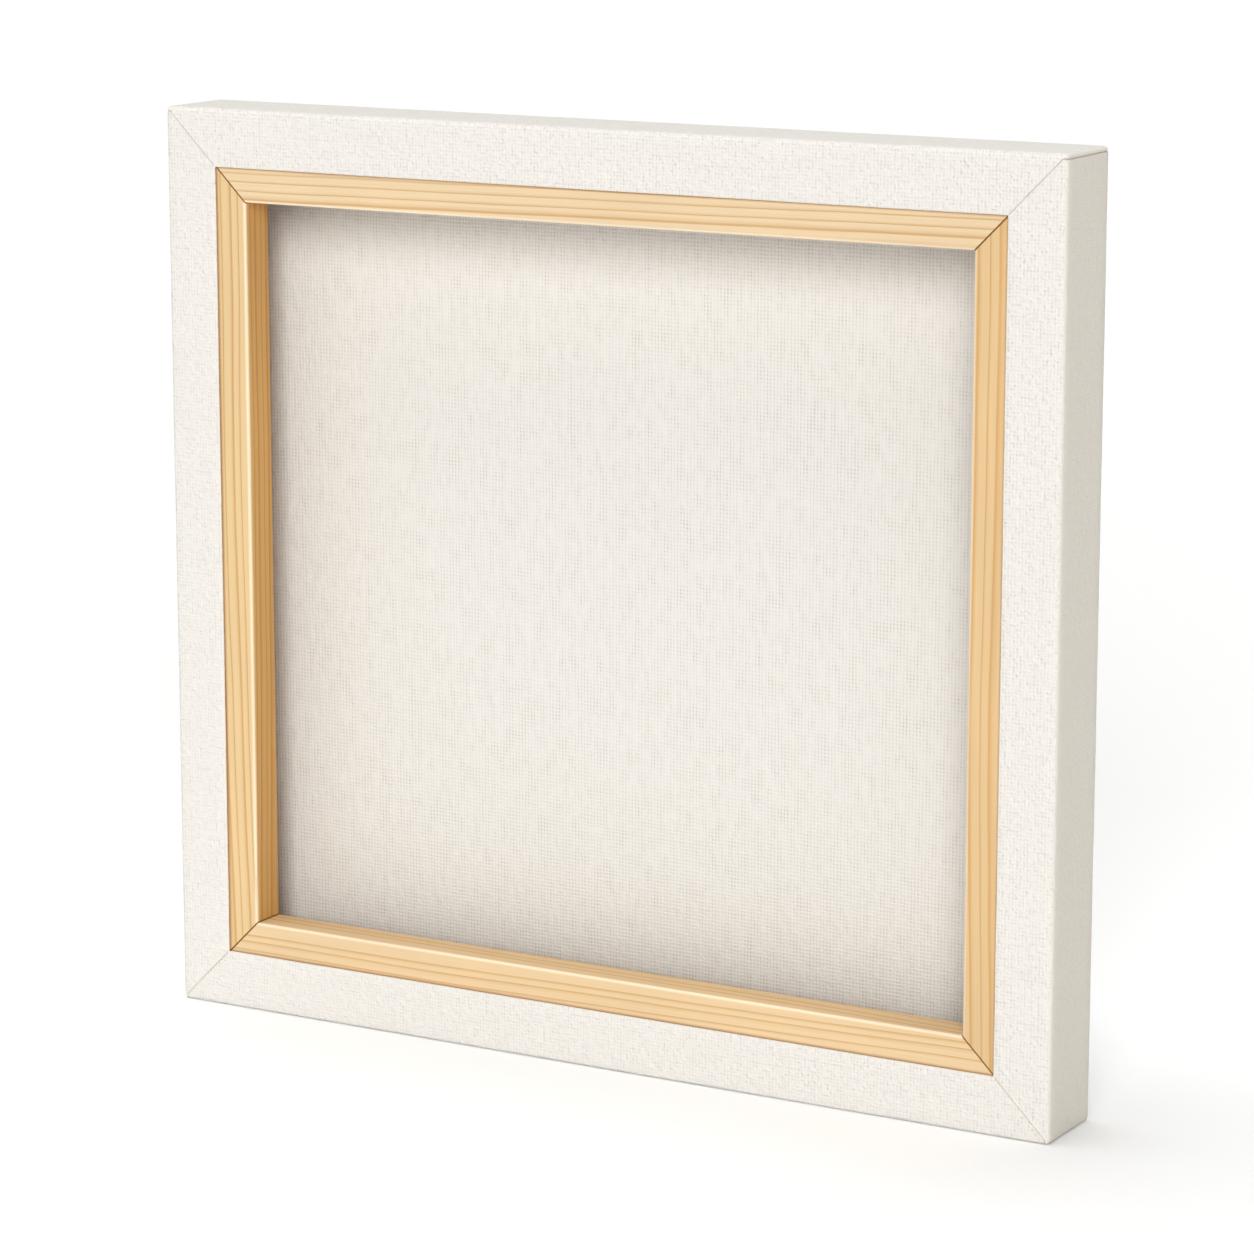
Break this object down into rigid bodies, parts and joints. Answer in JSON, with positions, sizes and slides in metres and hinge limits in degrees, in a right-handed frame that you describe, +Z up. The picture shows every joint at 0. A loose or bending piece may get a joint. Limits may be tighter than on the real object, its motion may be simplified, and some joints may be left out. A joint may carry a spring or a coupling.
{
  "type": "stretched canvas",
  "caption": "Stretched artist's canvas: primed cotton over a mitred pine stretcher frame with a deep open back and a turned hem.",
  "frame": {"origin": "middle of the bottom edge's outline, at the height that the canvas stands on", "axes": "+X along the width, +Y out of the painting face, +Z up; the open back looks along -Y"},
  "size_m": [0.406, 0.038, 0.381],
  "materials": {
    "primed_cotton": "matte primed plain weave",
    "pine": "planed, unfinished",
    "nail_steel": "bright strip"
  },
  "bodies": {
    "root": {"canvas": "primed_cotton", "bar_bottom": "pine", "bar_right": "pine", "bar_top": "pine", "bar_left": "pine", "v_nails_bottom_right": "nail_steel", "v_nails_top_right": "nail_steel", "v_nails_top_left": "nail_steel", "v_nails_bottom_left": "nail_steel"}
  },
  "joints": []
}
